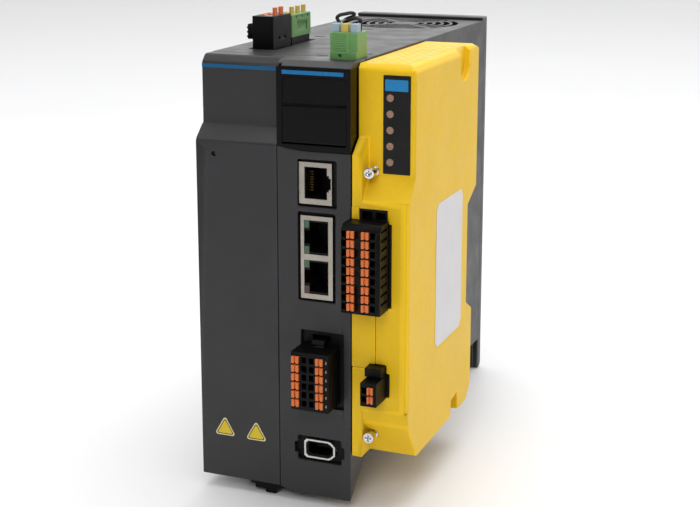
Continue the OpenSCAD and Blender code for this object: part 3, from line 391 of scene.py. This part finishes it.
def rounded(base, width, segments, chooser, tree, area, gaps):
    """Rounds the chosen edges. Edges that would fold the surface over are left sharp, shortest first."""
    base.edges.index_update()
    base.edges.ensure_lookup_table()
    wanted = [e.index for e in base.edges if len(e.link_faces) == 2 and chooser(e)]
    spans = {i: (base.edges[i].verts[0].co.copy(), base.edges[i].verts[1].co.copy()) for i in wanted}
    lengths = {i: (b - a).length for i, (a, b) in spans.items()}
    dropped = set()
    for attempt in range(TRIES):
        bm = bevelled(base, wanted, dropped, width, segments)
        test = bm.copy()
        bmesh.ops.triangulate(test, faces=test.faces)
        wrong = faults(test, tree, width)
        total = sum(f.calc_area() for f in test.faces)
        stray = sum(size for corners, size in wrong)
        test.free()
        if stray < STRAY_SHARE * area and total < GROWTH * area and open_edges(bm) <= gaps:
            return bm
        bm.free()
        before = len(dropped)
        for corners, size in wrong:
            near = [i for i in wanted if i not in dropped
                    and min(off_segment(c, *spans[i]) for c in corners) < width * 1.6]
            if near:
                dropped.add(min(near, key=lengths.get))
        if len(dropped) == before:
            return None
    return None


def softened(node, width, big=None):
    """Stands for a CAD node: the same shape with its sharp edges rounded by width (millimetres).

    Where that fails it is tried again narrower, then without joining the flats, and then left sharp."""
    source = nodes[node]
    plain = welded(source, False)
    tree = BVHTree.FromBMesh(plain)
    area = sum(f.calc_area() for f in plain.faces)
    gaps = open_edges(plain)
    kept = None
    for join_flats, part in ((True, 1), (True, 0.6), (False, 1), (False, 0.5)):
        base = welded(source, join_flats)
        base.faces.layers.float.new("edge")
        steps = [(width * part, 2, lambda e: e.calc_face_angle(0) > SHARP)]
        if big:
            steps.insert(0, big)
        for offset, count, chooser in steps:
            kept = rounded(base, offset * MM, count, chooser, tree, area, gaps)
            if kept is None:
                break
            base.free()
            base = kept
        if kept is not None:
            break
    if kept is None:
        kept = welded(source, False)
        kept.faces.layers.float.new("edge")
    plain.free()
    bmesh.ops.triangulate(kept, faces=kept.faces)
    for face in kept.faces:
        face.smooth = True
    mesh = source.data.copy()
    kept.to_mesh(mesh)
    kept.free()
    mesh.set_sharp_from_angle(angle=CREASE)
    obj = bpy.data.objects.new(node + "_moulded", mesh)
    scene.collection.objects.link(obj)
    normals = obj.modifiers.new("normals", "WEIGHTED_NORMAL")
    normals.keep_sharp = True
    normals.weight = 100
    paint(obj, finish_of(node))
    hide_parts(node)
    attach(obj, body_of[node])


def long_soft(e):
    """Long shallow edges, where the moulding is rounded more."""
    return e.calc_length() > 8 * MM and math.radians(15) < e.calc_face_angle(0) < math.radians(60)


# How far each piece's edges are rounded, in millimetres
widths = {
    "main_housing": 0.3, "left_cover": 0.5, "right_panel": 0.4, "back_plate": 0.6, "display_bezel": 0.25,
    "key_flap": 0.25, "safety_cover": 0.55, "safety_base": 0.3, "motor_header": 0.4, "signal_header": 0.15,
    "signal_plug": 0.14, "safety_plug": 0.14, "sto_plug": 0.14, "safety_headers": 0.2, "top_headers": 0.2,
    "control_plug": 0.2, "mains_plug": 0.25, "brake_plug": 0.12, "rating_label": 0.08, "safety_screws": 0.12,
    "signal_buttons_left": 0.15, "signal_buttons_right": 0.15, "safety_buttons_left": 0.15,
    "safety_buttons_right": 0.15, "sto_buttons": 0.15, "control_lever_1": 0.2, "control_lever_2": 0.2,
    "mains_lever_1": 0.2, "mains_lever_2": 0.2, "mains_lever_3": 0.2, "brake_button_1": 0.18,
    "brake_button_2": 0.18, "brake_button_3": 0.18, "encoder_shell": 0.12, "connector_frame": 0.1,
    "mode_key": 0.2, "shift_key": 0.2, "up_key": 0.2, "down_key": 0.2, "set_key": 0.2,
}
# Wider rounding done first: its width, its number of steps and its edges
rounder = {"safety_cover": (1.1, 3, long_soft), "left_cover": (0.8, 3, long_soft)}
for name, width in widths.items():
    softened(name, width, rounder.get(name))

# ---------------------------------------------------------------- small prints

PRINT_THICK = 0.03
PRINT_PROUD = 0.03
SIGN_PROUD = 0.02


def thin_print(name, points, faces, node, finish):
    """One print from its points and faces, riding with a node and painted with the given finish."""
    mesh = bpy.data.meshes.new(name)
    mesh.from_pydata(points, [], faces)
    obj = bpy.data.objects.new(name, mesh)
    scene.collection.objects.link(obj)
    bm = bmesh.new()
    bm.from_mesh(mesh)
    bmesh.ops.recalc_face_normals(bm, faces=bm.faces)
    bm.to_mesh(mesh)
    bm.free()
    paint(obj, finish)
    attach(obj, body_of[node])


def flat_print(name, outline, y, node, finish):
    """A thin print on a front face: an outline of (x, z) points, its front at y."""
    count = len(outline)
    points = [place(x, depth, z) for depth in (y, y + PRINT_THICK) for x, z in outline]
    faces = [tuple(range(count)), tuple(range(2 * count - 1, count - 1, -1))]
    faces += [(i, i + count, (i + 1) % count + count, (i + 1) % count) for i in range(count)]
    thin_print(name, points, faces, node, finish)


def ring_print(name, outer, inner, y, node, finish):
    """A thin closed line on a front face, between two outlines of (x, z) points, its front at y."""
    count = len(outer)
    lines = list(outer) + list(inner)
    points = [place(x, depth, z) for depth in (y, y + PRINT_THICK) for x, z in lines]
    faces = []
    for i in range(count):
        j = (i + 1) % count
        faces += [(i, j, count + j, count + i), (2 * count + i, 3 * count + i, 3 * count + j, 2 * count + j),
                  (i, 2 * count + i, 2 * count + j, j), (count + i, count + j, 3 * count + j, 3 * count + i)]
    thin_print(name, points, faces, node, finish)


def corner_arcs(corners, r, sweep, steps=4):
    """Outline points around round corners, each given by its arc's centre (x, z) and first angle."""
    points = []
    for x, z, start in corners:
        for i in range(steps + 1):
            turn = math.radians(start + sweep * i / steps)
            points.append((x + r * math.cos(turn), z + r * math.sin(turn)))
    return points


def triangle(x, z, side, inset, r):
    """Outline of an upright triangle with round corners, drawn inwards by inset."""
    half = side / 2 - inset * 3 ** 0.5
    foot = z + inset
    rise = half * 3 ** 0.5
    return corner_arcs(((x + half - r * 3 ** 0.5, foot + r, -90), (x, foot + rise - 2 * r, 30),
                        (x - half + r * 3 ** 0.5, foot + r, 150)), r, 120)


def rounded_box(low, high, r):
    """Outline of a rectangle with round corners."""
    return corner_arcs(((high[0] - r, high[1] - r, 0), (low[0] + r, high[1] - r, 90),
                        (low[0] + r, low[1] + r, 180), (high[0] - r, low[1] + r, 270)), r, 90)


# The blue block at the top of the light panel
PANEL_LOW, PANEL_HIGH, PANEL_R = (76.1, 166.5), (85.2, 170.8), 0.3
label_front = (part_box("led_label")[0].y - front_y) / MM
panel = rounded_box(PANEL_LOW, PANEL_HIGH, PANEL_R)
flat_print("blue_panel", panel, label_front - PRINT_PROUD, "led_label", label_blue)

# A pale border and a dark line inside it on each triangular sticker
SIGN_FEET = ((10.4, 23), (24.3, 22.8))
SIGN_SIDE = 9.6
SIGN_R = 0.85
SIGN_LINES = (("border", 0.06, 0.36, sign_edge), ("line", 0.5, 0.78, label_black))
sign_front = (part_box("front_labels")[0].y - front_y) / MM - SIGN_PROUD
for sign, (x, z) in enumerate(SIGN_FEET):
    for name, near, far, finish in SIGN_LINES:
        outer, inner = (triangle(x, z, SIGN_SIDE, inset, SIGN_R - inset / 2) for inset in (near, far))
        ring_print("sign_%s_%d" % (name, sign), outer, inner, sign_front, "front_labels", finish)

# A pale tick at the end of each terminal row, level with the middle of its button
ROWS = 6
BUTTON_H = 2.8
TICK_HALF = 0.55
TICK_R = 0.15
plug_low, plug_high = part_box("signal_plug")
row_low, row_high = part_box("signal_buttons_right")
plug_front = (plug_low.y - front_y) / MM
tick_left, tick_right = ((plug_high.x - left_x) / MM - inset for inset in (1.1, 0.65))
row_step = ((row_high.z - row_low.z) / MM - BUTTON_H) / (ROWS - 1)
for row in range(ROWS):
    z = (row_low.z - base_z) / MM + BUTTON_H / 2 + row * row_step
    bar = rounded_box((tick_left, z - TICK_HALF), (tick_right, z + TICK_HALF), TICK_R)
    flat_print("tick_%d" % row, bar, plug_front - PRINT_PROUD, "signal_plug", tick)

# ---------------------------------------------------------------- floor, light, camera

FLOOR_SIZE = 14
FLOOR_GAP = 0.0002  # metres between the floor and the drive's underside
floor_finish = Finish("studio_floor", (0.86, 0.86, 0.87), 0.6)
floor_finish.shade(floor_finish.noise(3, 2.0), 0.01)
bpy.ops.mesh.primitive_plane_add(size=FLOOR_SIZE, location=(0, 0, base_z - FLOOR_GAP))
floor = bpy.context.object
floor.name = "studio_floor"
paint(floor, floor_finish)


def studio_air():
    """Soft light from all round: bright behind and above, dark in front."""
    world = bpy.data.worlds.new("studio")
    scene.world = world
    world.use_nodes = True
    tree = world.node_tree
    direction = tree.nodes.new("ShaderNodeSeparateXYZ")
    tree.links.new(tree.nodes.new("ShaderNodeTexCoord").outputs["Generated"], direction.inputs[0])

    def ramp(value, low, high, a, b):
        node = tree.nodes.new("ShaderNodeMapRange")
        node.interpolation_type = "SMOOTHSTEP"
        for key, number in zip(("From Min", "From Max", "To Min", "To Max"), (low, high, a, b)):
            node.inputs[key].default_value = number
        tree.links.new(value, node.inputs["Value"])
        return node.outputs["Result"]

    brightest = tree.nodes.new("ShaderNodeMath")
    brightest.operation = "MAXIMUM"
    tree.links.new(ramp(direction.outputs["Y"], 0.0, 0.9, 0.14, 1.9), brightest.inputs[0])
    tree.links.new(ramp(direction.outputs["Z"], 0.35, 0.95, 0.0, 1.1), brightest.inputs[1])
    tree.links.new(brightest.outputs[0], tree.nodes["Background"].inputs["Color"])
    tree.nodes["Background"].inputs["Strength"].default_value = 0.75


studio_air()


DRIVE_MIDDLE = (0, 0, 0.1)


def softbox(name, at, size, power):
    """A square lamp of the given size in metres and power in watts, aimed at the drive."""
    data = bpy.data.lights.new(name, "AREA")
    data.shape = "RECTANGLE"
    data.size = data.size_y = size
    data.energy = power
    lamp = bpy.data.objects.new(name, data)
    scene.collection.objects.link(lamp)
    lamp.location = at
    lamp.rotation_mode = "QUATERNION"
    lamp.rotation_quaternion = (Vector(DRIVE_MIDDLE) - Vector(at)).to_track_quat("-Z", "Y")


softbox("overhead", (0.1, 0.2, 2.0), 1.6, 24)
softbox("front", (0.35, -1.65, 1.25), 0.9, 10.5)
softbox("right_fill", (1.6, 0.2, 0.8), 0.9, 0.6)

# The camera stands at the front right, a little above, and looks back at the drive by these angles
AZIMUTH, ELEVATION = math.radians(21.55), math.radians(12.24)
camera_data = bpy.data.cameras.new("camera")
camera = bpy.data.objects.new("camera", camera_data)
scene.collection.objects.link(camera)
scene.camera = camera
camera.location = place(253.5, -478.0, 243.2)
level = math.cos(ELEVATION)
back = Vector((math.sin(AZIMUTH) * level, -math.cos(AZIMUTH) * level, math.sin(ELEVATION)))
camera.rotation_mode = "QUATERNION"
camera.rotation_quaternion = (-back).to_track_quat("-Z", "Y")
camera_data.sensor_width = 36
camera_data.lens = 72
camera_data.shift_y = -0.1
camera_data.clip_start = 0.01
camera_data.clip_end = 30

scene.view_settings.view_transform = "Standard"
scene.view_settings.look = "None"
